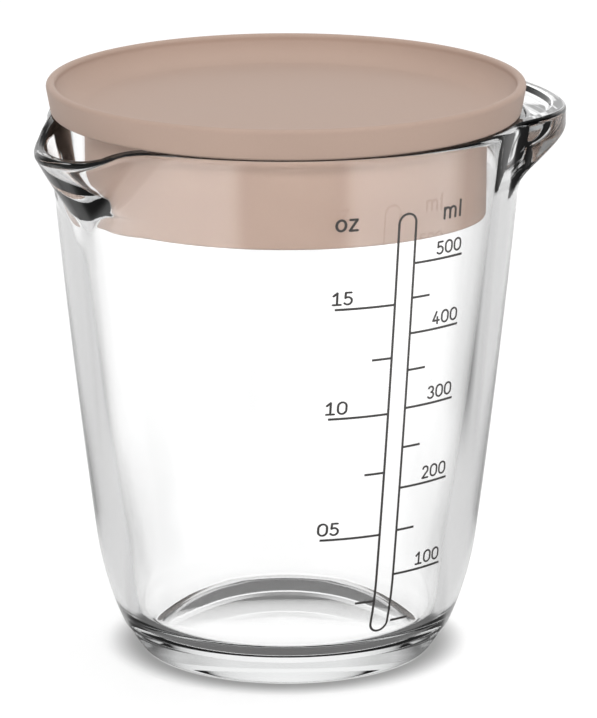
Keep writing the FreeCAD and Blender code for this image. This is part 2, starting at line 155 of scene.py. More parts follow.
# behind the pitcher the backdrop is white higher up than the walls of the room are
backdrop = by_angle(room, looking, 1.0, [
    (-180, 1.0), (-146, 1.0), (-130, 0.0), (130, 0.0), (146, 1.0), (180, 1.0)])
seen = blend(
    room, past(room, path.outputs["Glossy Depth"]),
    calculate(room, "MULTIPLY", straight, blend(
        room, backdrop, ramp_value(room, height, 0.30, 0.62, 1.0, 0.45),
        ramp_value(room, height, 0.60, 0.75, 1.25, 0.45))),
    calculate(room, "MULTIPLY", mirrored, blend(
        room, backdrop, ramp_value(room, height, 0.06, 0.26, 1.0, 0.26),
        ramp_value(room, height, 0.36, 0.50, 1.3, 0.26))))
through_glass = calculate(room, "MAXIMUM", path.outputs["Is Glossy Ray"],
                          path.outputs["Is Transmission Ray"])
lighting = blend(room, through_glass, 0.55, ramp_value(room, height, 0.1, 0.6, 5.2, 0.15))
level = blend(room, path.outputs["Is Camera Ray"],
              blend(room, past(room, path.outputs["Diffuse Depth"]), seen, lighting), 1.0)
air = add_node(room, "ShaderNodeBackground", {"Color": (1, 1, 1, 1), "Strength": level})
add_node(room, "ShaderNodeOutputWorld", {"Surface": air.outputs[0]})


def add_lamp(name, place, width, power):
    """A square soft lamp that faces the pitcher."""
    data = bpy.data.lights.new(name, "AREA")
    data.shape = "SQUARE"
    data.size = width
    data.energy = power
    lamp = bpy.data.objects.new(name, data)
    scene.collection.objects.link(lamp)
    lamp.location = place
    lamp.rotation_euler = (pitcher_middle - Vector(place)).to_track_quat("-Z", "Y").to_euler()
    lamp.visible_glossy = False
    lamp.visible_transmission = False


add_lamp("front_lamp", (-0.9, -1.5, 1.0), 0.9, 16)
add_lamp("top_lamp", (0.3, 0.1, 1.6), 1.2, 10.5)

table_mesh = bpy.data.meshes.new("table")
table_half = 6.0
table_drop = -0.0002
table_mesh.from_pydata(
    [(-table_half, -table_half, table_drop), (table_half, -table_half, table_drop),
     (table_half, table_half, table_drop), (-table_half, table_half, table_drop)],
    [], [(0, 1, 2, 3)])
table = bpy.data.objects.new("table", table_mesh)
scene.collection.objects.link(table)
table_paint = bpy.data.materials.new("white_table")
table_paint.use_nodes = True
paint = table_paint.node_tree
paint.nodes.clear()
place = add_node(paint, "ShaderNodeTexCoord").outputs["Object"]
path = add_node(paint, "ShaderNodeLightPath")
away = add_node(paint, "ShaderNodeVectorMath", {0: place}, operation="LENGTH").outputs["Value"]
direct = path.outputs["Is Camera Ray"]
# seen in the glass, the table glows by angle with a painted reflection of the studio's soft
# boxes, further out from the foot
beyond = ramp_value(paint, away, 0.06, 0.10, 0.0, 1.0)
farther = ramp_value(paint, away, 0.12, 0.20, 0.0, 1.0)
straight = calculate(paint, "MULTIPLY", full_white, by_angle(
    paint, place, blend(paint, farther, 1.0, far_spread), shown_straight))
mirrored = by_angle(paint, place, 1.0, shown_mirrored)
# painted shade: close round its foot the table is painted dark for its mirror image in the glass,
# as the pitcher's own shade, darkest at the front
painted_shade_in_glass = by_angle(paint, place, 1.0, [
    (-180, 0.2), (-172, 0.2), (-158, 0.76), (-95, 0.76), (-89, 0.3), (-84, 0.17),
    (84, 0.17), (89, 0.3), (95, 0.76), (158, 0.76), (172, 0.2), (180, 0.2)])
# what the glass shows of the table: painted studio light, and painted shade close round the foot
view = blend(paint, past(paint, path.outputs["Glossy Depth"]),
             blend(paint, beyond, full_white, straight),
             blend(paint, farther, painted_shade_in_glass, mirrored))
in_glass = calculate(paint, "SUBTRACT", 1.0, direct)
# painted contact shadow: for camera rays the table is painted darker in a narrow ring just
# outside the pitcher's foot
painted_contact_shadow = calculate(paint, "MULTIPLY", ramp_value(paint, away, 0.0325, 0.0335, 0.0, 1.0),
                       ramp_value(paint, away, 0.0335, 0.0435, 0.65, 0.0))
clear_of_painted_shadow = calculate(paint, "SUBTRACT", 1.0, calculate(paint, "MULTIPLY", painted_contact_shadow, direct))
lit = add_node(paint, "ShaderNodeBsdfDiffuse", {
    "Color": calculate(paint, "MULTIPLY", clear_of_painted_shadow, blend(paint, in_glass, 0.46, 0.0))})
glow = add_node(paint, "ShaderNodeEmission", {
    "Strength": calculate(paint, "MULTIPLY", clear_of_painted_shadow, blend(paint, in_glass, 0.62, view))})
both = add_node(paint, "ShaderNodeAddShader", {0: lit.outputs[0], 1: glow.outputs[0]})
plain = add_node(paint, "ShaderNodeBsdfDiffuse", {"Color": (0.8, 0.8, 0.8, 1)})
chosen = add_node(paint, "ShaderNodeMixShader", {
    0: past(paint, path.outputs["Diffuse Depth"]),
    1: both.outputs[0], 2: plain.outputs[0]})
add_node(paint, "ShaderNodeOutputMaterial", {"Surface": chosen.outputs[0]})
table_mesh.materials.append(table_paint)

# ---------------------------------------------------------------------------
# Glass jug: one pressed piece of clear glass, with a thick floor, a beak at
# the left and a ledge grip at the right. All its edges are fire-polished, so
# every corner is round. Lengths are in millimetres, heights from the table.
# ---------------------------------------------------------------------------
MM = 0.001
rim_height = 124.6
rim_radius = 53.9
edge_rounding = 1.3
mouth_radius = rim_radius - 5.4


def arc_centre(low, high, radius):
    """Centre of the arc between two (radius, height) points that bulges outwards."""
    across, up = high[0] - low[0], high[1] - low[1]
    half = math.hypot(across, up) / 2
    back = math.sqrt(radius ** 2 - half ** 2) / (2 * half)
    return (low[0] + high[0]) / 2 - up * back, (low[1] + high[1]) / 2 + across * back


def wall(heights, low, middle, high, low_arc, high_arc):
    """Radius of a wall of two arcs at the given heights."""
    low_centre = arc_centre(low, middle, low_arc)
    high_centre = arc_centre(middle, high, high_arc)
    return np.where(
        heights < middle[1],
        low_centre[0] + np.sqrt(low_arc ** 2 - (heights - low_centre[1]) ** 2),
        high_centre[0] + np.sqrt(high_arc ** 2 - (heights - high_centre[1]) ** 2))


foot_radius = 33.4
heel = (37.8, 6.3)
flank = (43.6, 27.0)
floor_edge = (32.7, 7.0)
inner_flank = (36.9, 27.0)
heel_arc, flank_arc = 74, 2200
hollow_arc, upper_hollow_arc = 144, 1320


def outer_bowl(heights):
    return wall(heights, heel, flank, (rim_radius, rim_height), heel_arc, flank_arc)


def inner_bowl(heights):
    return wall(heights, floor_edge, inner_flank,
                (mouth_radius, rim_height - edge_rounding), hollow_arc, upper_hollow_arc)


def soft_max(a, b, width):
    """The larger of two, with the crease between them filled over a width."""
    near = np.maximum(width - np.abs(a - b), 0) / width
    return np.maximum(a, b) + near * near * width / 4


def beak(turn, drop, drops, reaches, arcs, sides, roots, root_angles):
    """Radius of a beak: a round tip and two straight sides, given at three drops."""
    faded = drop > drops[-1] + 4
    drop = np.where(faded, drops[-1], drop)
    reach, arc, side, root, root_angle = (
        np.polyval(np.polyfit(drops, values, 2), drop)
        for values in (reaches, arcs, np.radians(sides), roots, np.radians(root_angles)))
    tip_x = reach - arc + arc * np.cos(side)
    tip_y = arc * np.sin(side)
    root_x = root * np.cos(root_angle)
    root_y = root * np.sin(root_angle)
    facing = np.arctan2(tip_x - root_x, root_y - tip_y)
    away = tip_x * np.cos(facing) + tip_y * np.sin(facing)
    total = 0
    softening = np.radians([-1.6, -0.8, 0, 0.8, 1.6])
    for shift in softening:
        at = np.abs(turn + shift)
        centre = reach - arc
        on_tip = centre * np.cos(at) + np.sqrt(
            np.maximum(arc ** 2 - (centre * np.sin(at)) ** 2, 0))
        slant = np.cos(at - facing)
        on_side = np.where(at < facing, away / np.maximum(slant, 0.2), away * slant)
        total = total + np.where(at < np.arctan2(tip_y, tip_x), on_tip, on_side)
    return np.where(faded, 0, total / len(softening))


lip = 4.2
spout_drops = (0, 10.6, 21.6)
spout_reaches = np.array((64.43, 58.63, 51.5))
channel_drops = (0, 10.6, 17.6)

# the grip's outline: a wide arc that runs into two corner arcs
grip_reach, grip_half_width = 64.9, 38.3
end_arc, corner_arc = 60, 28.5
grip_centre = grip_reach - end_arc
corner_y = grip_half_width - corner_arc
corner_x = grip_centre + math.sqrt((end_arc - corner_arc) ** 2 - corner_y ** 2)
corner_starts = math.atan2(corner_y, corner_x - grip_centre)
corner_turn = math.atan2(
    end_arc * math.sin(corner_starts), grip_centre + end_arc * math.cos(corner_starts))
cove_arc = 42
cove_centre = (84.3, 82.8)


def ledge(turn, inset):
    """Radius of the grip's outline, drawn in by an inset."""
    at = np.abs(turn)
    end = grip_centre * np.cos(at) + np.sqrt(
        (end_arc - inset) ** 2 - (grip_centre * np.sin(at)) ** 2)
    across = corner_x * np.sin(at) - corner_y * np.cos(at)
    corner = corner_x * np.cos(at) + corner_y * np.sin(at) + np.sqrt(
        np.maximum((corner_arc - inset) ** 2 - across ** 2, 0))
    return np.where(at < corner_turn, end, corner)


def outside(turn, heights):
    """Radius of the jug's outside: bowl, grip with its cove underneath, and beak."""
    radius = outer_bowl(heights)
    cove = cove_centre[0] - np.sqrt(
        np.maximum(cove_arc ** 2 - (heights - cove_centre[1]) ** 2, 0))
    cove = np.where(heights < 100, 0, cove)
    grip = -soft_max(-ledge(turn, 0), -cove, 1.0)
    radius = soft_max(radius, grip, 3.0)
    return soft_max(radius, beak(
        np.pi - np.abs(turn), rim_height - heights, spout_drops, spout_reaches,
        (22, 17, 10), (45, 45, 30), (53.4, 52.3, 51.1), (25.7, 16.1, 13)), 2.2)


def inside(turn, heights):
    """Radius of the jug's inside: hollow and pouring channel."""
    return soft_max(inner_bowl(heights), beak(
        np.pi - np.abs(turn), rim_height - heights, channel_drops,
        (64.0 - lip, 58.2 - lip, 45.9), (17.8, 12.8, 10), (45, 45, 30),
        (48.1, 47.0, 45.9), (29.5, 17.7, 12)), 2.5)


def lip_height(ahead):
    """Height of the glass top: it falls in an S of two arcs towards the spout's tip."""
    start, half_run, half_dip, slope = 46.3, 7.1, 2.05, 0.04
    arc = (half_run ** 2 + half_dip ** 2) / (2 * half_dip)
    along = np.clip(ahead - start, 0, 2 * half_run)
    falling = arc - np.sqrt(arc ** 2 - np.minimum(along, half_run) ** 2)
    levelling = arc - np.sqrt(arc ** 2 - (2 * half_run - np.maximum(along, half_run)) ** 2)
    drop = np.where(along < half_run, falling, 2 * half_dip - levelling)
    return rim_height - drop - slope * np.maximum(ahead - start - 2 * half_run, 0)


def top_height(turn, radius):
    """Height of the glass top at a place, with the thumb recess in the grip."""
    border, run, depth = 3.1, 1.4, 1.3
    x, y = radius * np.cos(turn), np.abs(radius * np.sin(turn))
    inset = np.where(
        np.abs(turn) < corner_turn,
        end_arc - np.hypot(x - grip_centre, y),
        corner_arc - np.hypot(x - corner_x, y - corner_y))
    share = np.clip((inset - border) / run, 0, 1)
    recessed = rim_height - depth * share * share * (3 - 2 * share)
    crest = rim_radius - edge_rounding
    over = np.clip(radius - crest, 0, edge_rounding)
    ring = rim_height - edge_rounding + np.sqrt(edge_rounding ** 2 - over ** 2)
    grip_top = np.where(radius < rim_radius, np.maximum(recessed, ring), recessed)
    return np.minimum(grip_top, lip_height(-x))


def fillet(corner, first, second, radius, steps):
    """Rows of a rounded corner, from the side along first to the side along second."""
    first = first / np.linalg.norm(first, axis=0)
    second = second / np.linalg.norm(second, axis=0)
    half = np.arccos(np.clip((first * second).sum(0), -1, 1)) / 2
    middle = (first + second) / np.linalg.norm(first + second, axis=0)
    centre = corner + middle * (radius / np.sin(half))
    start = corner + first * (radius / np.tan(half)) - centre
    finish = corner + second * (radius / np.tan(half)) - centre
    sweep = np.pi - 2 * half
    return [centre + (np.sin((1 - t) * sweep) * start + np.sin(t * sweep) * finish)
            / np.sin(sweep) for t in np.linspace(0, 1, steps)]


# columns all round, closest together at the grip and the spout
quarter = [np.arange(0, 32, 0.5), np.arange(32, 47, 0.4), np.arange(47, 145, 1.5),
           np.arange(145, 180, 0.45)]
half_turn = np.radians(np.concatenate(quarter))
columns = np.concatenate([half_turn, [np.pi], -half_turn[:0:-1]])
count = len(columns)


def ring_at(radius, height):
    return np.array([np.full(count, float(radius)), np.full(count, float(height))])


def level_corner(side, outwards):
    """The corner between a wall and the glass top, and the two directions that leave it."""
    height = np.full(count, rim_height)
    for _ in range(12):
        radius = side(columns, height)
        height = lip_height(-radius * np.cos(columns))
    lean = side(columns, height) - side(columns, height - 1)
    along = 0.5 * outwards
    fall = lip_height(-(radius + along) * np.cos(columns)) - height
    return (np.array([radius, height]), np.array([-lean, -np.ones(count)]),
            np.array([np.full(count, along), fall]))


def between(first, last, steps):
    """Shares from one to another, without the ends."""
    return np.linspace(first, last, steps + 2)[1:-1]


# the underside: a slight hollow, a flat ring to stand on, the bevel and the heel
punt_radius, punt_depth = 30.0, 1.05
rows = [ring_at(r, punt_depth * (1 - (r / punt_radius) ** 2))
        for r in (4, 8, 12, 16, 20, 23, 26, 28, 29.3)]
rows += [ring_at(29.8, 0.04), ring_at(30.2, 0.01), ring_at(30.7, 0), ring_at(32.2, 0)]
bevel_up = np.array([[heel[0] - foot_radius], [heel[1]]]) * np.ones(count)
inwards = ring_at(-1, 0)
rows += fillet(ring_at(foot_radius, 0), inwards, bevel_up, 0.8, 6)
heel_centre = arc_centre(heel, flank, heel_arc)
heel_up = ring_at(heel_centre[1] - heel[1], heel[0] - heel_centre[0])
heel_rows = fillet(ring_at(*heel), -bevel_up, heel_up, 1.5, 8)
rows += [0.9 * rows[-1] + 0.1 * heel_rows[0], 0.1 * rows[-1] + 0.9 * heel_rows[0]]
rows += heel_rows

# up the outside, over the edge, across the grip and the rim, and down into the hollow
plain_heights = [8.2, 10, 12.5, 15, 17.5, 20, 22.5, 25, 27, 30, 34] \
    + list(np.arange(39, 104, 5))
rows += [np.array([outside(columns, np.full(count, float(z))), np.full(count, float(z))])
         for z in plain_heights]
corner, down, across = level_corner(outside, -1)
outer_edge = fillet(corner, down, across, edge_rounding, 9)
shaped_from = 103
for share in np.append(between(0, 1, 44), 0.99):
    heights = shaped_from + (outer_edge[0][1] - shaped_from) * share
    rows.append(np.array([outside(columns, heights), heights]))
rows += outer_edge
corner, down, across = level_corner(inside, 1)
inner_edge = fillet(corner, across, down, edge_rounding, 9)
insets = [0.3, 2.6, 2.9, 3.1, 3.3, 3.5, 3.7, 3.9, 4.1, 4.3, 4.5, 4.8]
flats = [np.maximum(ledge(columns, inset), rim_radius + 0.12) for inset in insets]
flats += [rim_radius + 0.1 + (flats[-1] - rim_radius - 0.1) * share
          for share in between(1, 0, 3)]
flats += [np.full(count, rim_radius - edge_rounding + edge_rounding * math.cos(angle))
          for angle in np.linspace(0, math.pi / 2, 9)]
spacing = 0.04
for i, radius in enumerate(flats):
    radius = np.minimum(radius, outer_edge[-1][0] - spacing * (i + 1))
    radius = np.maximum(radius, inner_edge[0][0] + spacing * (len(flats) - i))
    rows.append(np.array([radius, top_height(columns, radius)]))
rows += inner_edge
inner_foot = 98
for share in np.insert(between(0, 1, 38), 0, 0.01):
    heights = inner_edge[-1][1] + (inner_foot - inner_edge[-1][1]) * share
    rows.append(np.array([inside(columns, heights), heights]))
rows += [np.array([inside(columns, np.full(count, float(z))), np.full(count, float(z))])
         for z in list(np.arange(inner_foot, 29, -5)) + [27, 25, 22, 19, 17, 15.6]]
floor_rounding = 8.0
inner_centre = np.array(arc_centre(floor_edge, inner_flank, hollow_arc))
nest_height = floor_edge[1] + floor_rounding
nest = np.array([inner_centre[0] + math.sqrt(
    (hollow_arc - floor_rounding) ** 2 - (nest_height - inner_centre[1]) ** 2), nest_height])
touch = math.atan2(*(nest - inner_centre)[::-1])
rows += [ring_at(nest[0] + floor_rounding * math.cos(angle),
                 nest[1] + floor_rounding * math.sin(angle))
         for angle in np.linspace(touch, -math.pi / 2, 14)]
rows += [ring_at(r, floor_edge[1]) for r in (nest[0] - 0.3, nest[0] - 2, 12)]


def add_piece(name, points, faces, material, body, slot, node):
    """A smooth piece from points in millimetres, welded and with its faces outwards."""
    mesh = bpy.data.meshes.new(name)
    mesh.from_pydata([tuple(p) for p in np.asarray(points) * MM], [], faces)
    cleaned = bmesh.new()
    cleaned.from_mesh(mesh)
    bmesh.ops.remove_doubles(cleaned, verts=cleaned.verts, dist=2e-7)
    bmesh.ops.recalc_face_normals(cleaned, faces=cleaned.faces)
    cleaned.to_mesh(mesh)
    cleaned.free()
    mesh.polygons.foreach_set("use_smooth", [True] * len(mesh.polygons))
    mesh.materials.append(material)
    piece = bpy.data.objects.new(name, mesh)
    scene.collection.objects.link(piece)
    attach(piece, body)
    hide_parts(node)
    return piece


def closed_rows(rows, columns):
    """Points and faces of rings that run from one pole on the axis to another."""
    rings = len(rows)
    points = [(0, 0, rows[0][1][0]), (0, 0, rows[-1][1][0])]
    for radius, height in rows:
        points += zip(radius * np.cos(columns), radius * np.sin(columns), height)
    size = len(columns)
    faces = []
    for j in range(size):
        k = (j + 1) % size
        faces.append((0, 2 + k, 2 + j))
        faces.append((1, 2 + (rings - 1) * size + j, 2 + (rings - 1) * size + k))
        faces += [(2 + i * size + j, 2 + i * size + k,
                   2 + (i + 1) * size + k, 2 + (i + 1) * size + j) for i in range(rings - 1)]
    return points, faces


clear_glass = bpy.data.materials.new("clear_glass")
clear_glass.use_nodes = True
tree = clear_glass.node_tree
shader = tree.nodes["Principled BSDF"]
shader.inputs["Base Color"].default_value = (1, 1, 1, 1)
shader.inputs["Roughness"].default_value = 0.0
shader.inputs["IOR"].default_value = 1.49
shader.inputs["Transmission Weight"].default_value = 1.0
where = add_node(tree, "ShaderNodeTexCoord").outputs["Object"]
ripple = add_node(tree, "ShaderNodeTexNoise", {
    "Vector": where, "Scale": 26.0, "Detail": 1.0}).outputs[0]
waves = add_node(tree, "ShaderNodeBump", {
    "Strength": 0.05, "Distance": 0.001, "Height": ripple})
tree.links.new(waves.outputs[0], shader.inputs["Normal"])
greying = add_node(tree, "ShaderNodeVolumeAbsorption", {
    "Color": (0.55, 0.56, 0.56, 1), "Density": 13.0})
tree.links.new(greying.outputs[0], tree.nodes["Material Output"].inputs["Volume"])

jug = add_piece("jug_glass", *closed_rows(rows, columns), clear_glass, "jug",
                "clear_glass", "glass_jug")
jug.visible_shadow = False     # the lamps shine on the lid's skirt through the clear wall

# ---------------------------------------------------------------------------
# Lid: one moulding in matte dusty-rose plastic. A thick rim stands round a
# shallow dish, and under the plate a skirt hangs in the mouth of the jug.
# ---------------------------------------------------------------------------
lid_base = rim_height + 0.1
lid_depth, lid_taper = 7, 1.25
lid_top = lid_base + lid_depth
plate_top = lid_base + 1.3
lid_radius = rim_radius + 0.25
rim_inner = lid_radius - 2.3
dish_foot = (rim_inner - 7.4, plate_top)
dish_brow = (rim_inner, lid_top - 1.2)
skirt_outer, skirt_inner, skirt_end = 45.4, 43.4, lid_base - 21


def corner_rows(point, towards_first, towards_second, radius, steps=7):
    """One fillet of a turned profile, as (radius, height) pairs."""
    first = np.array(towards_first, float)[:, None]
    second = np.array(towards_second, float)[:, None]
    return [tuple(p[:, 0]) for p in fillet(
        np.array(point, float)[:, None], first, second, radius, steps)]


dish_chord = np.subtract(dish_brow, dish_foot)
half_chord = np.linalg.norm(dish_chord) / 2
dish_sag = 1.31
dish_arc = (half_chord ** 2 + dish_sag ** 2) / (2 * dish_sag)
dish_centre = (np.add(dish_brow, dish_foot) / 2
               + np.array([-dish_chord[1], dish_chord[0]]) / (2 * half_chord)
               * (dish_arc - dish_sag))
dish_angles = [math.atan2(*np.subtract(p, dish_centre)[::-1]) for p in (dish_foot, dish_brow)]
side_down = (-lid_taper, -lid_depth)
profile = [(20, plate_top), (38, plate_top), (dish_foot[0] - 0.4, plate_top)]
profile += [tuple(dish_centre + dish_arc * np.array([math.cos(a), math.sin(a)]))
            for a in np.linspace(*dish_angles, 18)]
profile += corner_rows((rim_inner, lid_top), (0, -1), (1, 0), 1)
profile += corner_rows((lid_radius, lid_top), (-1, 0), side_down, 1, 9)
profile += [(lid_radius - lid_taper * share, lid_top - lid_depth * share)
            for share in (0.2, 0.5, 0.8)]
profile += corner_rows(
    (lid_radius - lid_taper, lid_base), (lid_taper, lid_depth), (-1, 0), 0.8, 9)
profile += [(51.0, lid_base), (48.5, lid_base)]
profile += corner_rows((skirt_outer, lid_base), (1, 0), (0, -1), 0.5, 5)
profile += [(skirt_outer, z) for z in (lid_base - 1, lid_base - 10, skirt_end + 1)]
profile += corner_rows((skirt_outer, skirt_end), (0, 1), (-1, 0), 0.5, 6)
profile += corner_rows((skirt_inner, skirt_end), (1, 0), (0, 1), 0.5, 6)
profile += [(skirt_inner, z) for z in (skirt_end + 1, lid_base - 10, lid_base - 1)]
profile += corner_rows((skirt_inner, lid_base), (0, -1), (-1, 0), 0.5, 5)
profile += [(42, lid_base), (20, lid_base)]
lid_columns = np.radians(np.arange(0, 360, 360 / 320))
lid_rows = [np.array([np.full(len(lid_columns), r), np.full(len(lid_columns), z)])
            for r, z in profile]

rose_plastic = bpy.data.materials.new("rose_plastic")
rose_plastic.use_nodes = True
tree = rose_plastic.node_tree
shader = tree.nodes["Principled BSDF"]
where = add_node(tree, "ShaderNodeTexCoord").outputs["Object"]
cloud = add_node(tree, "ShaderNodeTexNoise", {
    "Vector": where, "Scale": 45.0, "Detail": 3.0}).outputs[0]
speck = add_node(tree, "ShaderNodeTexNoise", {
    "Vector": where, "Scale": 2600.0, "Detail": 2.0}).outputs[0]
# a faint cloud in the colour and the shine, and a speck for the moulded grain
mottle = calculate(tree, "ADD", calculate(tree, "MULTIPLY", cloud, 0.6),
                   calculate(tree, "MULTIPLY", speck, 0.4))
tint = add_node(tree, "ShaderNodeMix", {
    0: mottle, 6: (0.412, 0.296, 0.240, 1), 7: (0.461, 0.335, 0.272, 1)}, data_type="RGBA")
tree.links.new(tint.outputs[2], shader.inputs["Base Color"])
sheen = add_node(tree, "ShaderNodeMapRange", {
    "Value": cloud, "To Min": 0.50, "To Max": 0.62}).outputs[0]
tree.links.new(sheen, shader.inputs["Roughness"])
grain = add_node(tree, "ShaderNodeBump", {
    "Strength": 0.01, "Distance": 0.0001, "Height": speck})
tree.links.new(grain.outputs[0], shader.inputs["Normal"])
shader.inputs["Specular IOR Level"].default_value = 0.35
shader.inputs["Sheen Weight"].default_value = 0.06

add_piece("lid_moulding", *closed_rows(lid_rows, lid_columns), rose_plastic, "lid",
          "lid_plastic", "lid")

# ---------------------------------------------------------------------------
# Scale: ceramic ink, screen-printed on the outside of the wall and fired on.
# The lines are set out by volume, so they close up towards the top; fluid
# ounces are on the left of the column and millilitres on the right.
# ---------------------------------------------------------------------------
ink_out, ink_in, ink_line = 0.12, 0.05, 0.5
# the mean cone through the hollow that sets out the lines: its foot, radius and growth
gauge_start, gauge_radius, gauge_growth = 3.6, 36.06, 0.0941
flank_centre = arc_centre(flank, (rim_radius, rim_height), flank_arc)

fired_ink = bpy.data.materials.new("fired_ink")
fired_ink.use_nodes = True
tree = fired_ink.node_tree
shader = tree.nodes["Principled BSDF"]
where = add_node(tree, "ShaderNodeTexCoord").outputs["Object"]
mesh_mark = add_node(tree, "ShaderNodeTexNoise", {
    "Vector": where, "Scale": 1800.0, "Detail": 2.0}).outputs[0]
ink_tint = add_node(tree, "ShaderNodeMix", {
    0: mesh_mark, 6: (0.020, 0.018, 0.018, 1), 7: (0.065, 0.060, 0.058, 1)},
    data_type="RGBA")
tree.links.new(ink_tint.outputs[2], shader.inputs["Base Color"])
shader.inputs["Roughness"].default_value = 0.45


def level_lines():
    """Geometry nodes that set out one unit's level lines by volume and lay them on the wall."""
    tree = bpy.data.node_groups.new("level_lines", "GeometryNodeTree")
    face = tree.interface
    face.new_socket("Geometry", in_out="OUTPUT", socket_type="NodeSocketGeometry")
    face.new_socket("Marks", in_out="INPUT", socket_type="NodeSocketInt")
    for name in ("Volume per mark", "Side", "Long line", "Short line", "Line width",
                 "Floor height", "Hollow radius", "Hollow growth"):
        face.new_socket(name, in_out="INPUT", socket_type="NodeSocketFloat")
    face.new_socket("Ink", in_out="INPUT", socket_type="NodeSocketMaterial")
    given = tree.nodes.new("NodeGroupInput").outputs
    marks = add_node(tree, "GeometryNodeMeshLine", {"Count": given["Marks"]})
    index = add_node(tree, "GeometryNodeInputIndex").outputs[0]
    number_up = calculate(tree, "ADD", index, 1.0)
    volume = calculate(tree, "MULTIPLY", number_up, given["Volume per mark"])
    start = given["Hollow radius"]
    growth = given["Hollow growth"]
    swept = calculate(tree, "MULTIPLY", calculate(tree, "MULTIPLY", volume, growth),
                      3000 / math.pi)
    cubed = calculate(tree, "ADD", swept, calculate(tree, "POWER", start, 3.0))
    risen = calculate(tree, "DIVIDE", calculate(
        tree, "SUBTRACT", calculate(tree, "POWER", cubed, 1 / 3), start), growth)
    height = calculate(tree, "ADD", given["Floor height"], risen)
    from_top = calculate(tree, "SUBTRACT", given["Marks"], number_up)
    is_short = calculate(tree, "MODULO", from_top, 2.0)
    length = add_node(tree, "ShaderNodeMix", {
        0: is_short, 2: given["Long line"], 3: given["Short line"]}, data_type="FLOAT").outputs[0]
    near = 2.45
    run = calculate(tree, "SUBTRACT", length, near)
    centre = calculate(tree, "MULTIPLY", given["Side"], calculate(
        tree, "ADD", near, calculate(tree, "MULTIPLY", run, 0.5)))
    place = add_node(tree, "ShaderNodeCombineXYZ", {"X": centre, "Z": height}).outputs[0]
    placed = add_node(tree, "GeometryNodeSetPosition", {
        "Geometry": marks.outputs[0], "Position": place}).outputs[0]
    bar = add_node(tree, "GeometryNodeMeshCube", {
        "Size": (1, 1, 1), "Vertices X": 14, "Vertices Y": 2, "Vertices Z": 2}).outputs[0]
    scale = add_node(tree, "ShaderNodeCombineXYZ", {
        "X": run, "Y": 1.0, "Z": given["Line width"]}).outputs[0]
    bars = add_node(tree, "GeometryNodeInstanceOnPoints", {
        "Points": placed, "Instance": bar, "Scale": scale}).outputs[0]
    real = add_node(tree, "GeometryNodeRealizeInstances", {0: bars}).outputs[0]
    spot = add_node(tree, "ShaderNodeSeparateXYZ", {
        0: add_node(tree, "GeometryNodeInputPosition").outputs[0]}).outputs
    level = calculate(tree, "SUBTRACT", spot[2], flank_centre[1])
    wall_radius = calculate(tree, "ADD", flank_centre[0], calculate(tree, "SQRT", calculate(
        tree, "SUBTRACT", flank_arc ** 2, calculate(tree, "MULTIPLY", level, level))))
    depth = add_node(tree, "ShaderNodeMapRange", {
        "Value": spot[1], "From Min": -0.5, "From Max": 0.5,
        "To Min": ink_out, "To Max": -ink_in}).outputs[0]
    out = calculate(tree, "ADD", wall_radius, depth)
    forward = calculate(tree, "MULTIPLY", -1.0, calculate(tree, "SQRT", calculate(
        tree, "SUBTRACT", calculate(tree, "MULTIPLY", out, out),
        calculate(tree, "MULTIPLY", spot[0], spot[0]))))
    laid = add_node(tree, "ShaderNodeCombineXYZ", {
        "X": spot[0], "Y": forward, "Z": spot[2]}).outputs[0]
    wrapped = add_node(tree, "GeometryNodeSetPosition", {
        "Geometry": real, "Position": laid}).outputs[0]
    metres = add_node(tree, "GeometryNodeTransform", {
        "Geometry": wrapped, "Scale": (MM, MM, MM)}).outputs[0]
    whole = add_node(tree, "GeometryNodeRealizeInstances", {0: metres}).outputs[0]
    inked = add_node(tree, "GeometryNodeSetMaterial", {
        "Geometry": whole, "Material": given["Ink"]}).outputs[0]
    add_node(tree, "NodeGroupOutput", {0: inked})
    return tree


line_tree = level_lines()


def lines_of(name, values):
    """One unit's level lines as points and faces, in millimetres."""
    holder = bpy.data.objects.new(name + "_nodes", bpy.data.meshes.new(name))
    scene.collection.objects.link(holder)
    modifier = holder.modifiers.new("lines", "NODES")
    modifier.node_group = line_tree
    identifiers = {item.name: item.identifier for item in line_tree.interface.items_tree
                   if item.in_out == "INPUT"}
    for key, value in values.items():
        modifier[identifiers[key]] = value
    ready = holder.evaluated_get(bpy.context.evaluated_depsgraph_get())
    mesh = bpy.data.meshes.new_from_object(ready)
    points = [tuple(v.co / MM) for v in mesh.vertices]
    faces = [tuple(p.vertices) for p in mesh.polygons]
    holder.modifiers.clear()
    bpy.data.objects.remove(holder)
    return points, faces


def on_wall(x, height, depth):
    """A place on the front of the wall, in millimetres."""
    radius = outer_bowl(np.array(height, float)) + depth
    return x, -math.sqrt(radius ** 2 - x * x), height


def bend(x, height, across, up, start, finish):
    """Points along an arc from one angle to another, in degrees."""
    steps = max(int(abs(finish - start) / 12), 2)
    return [(x + across * math.cos(a), height + up * math.sin(a))
            for a in np.radians(np.linspace(start, finish, steps + 1))]


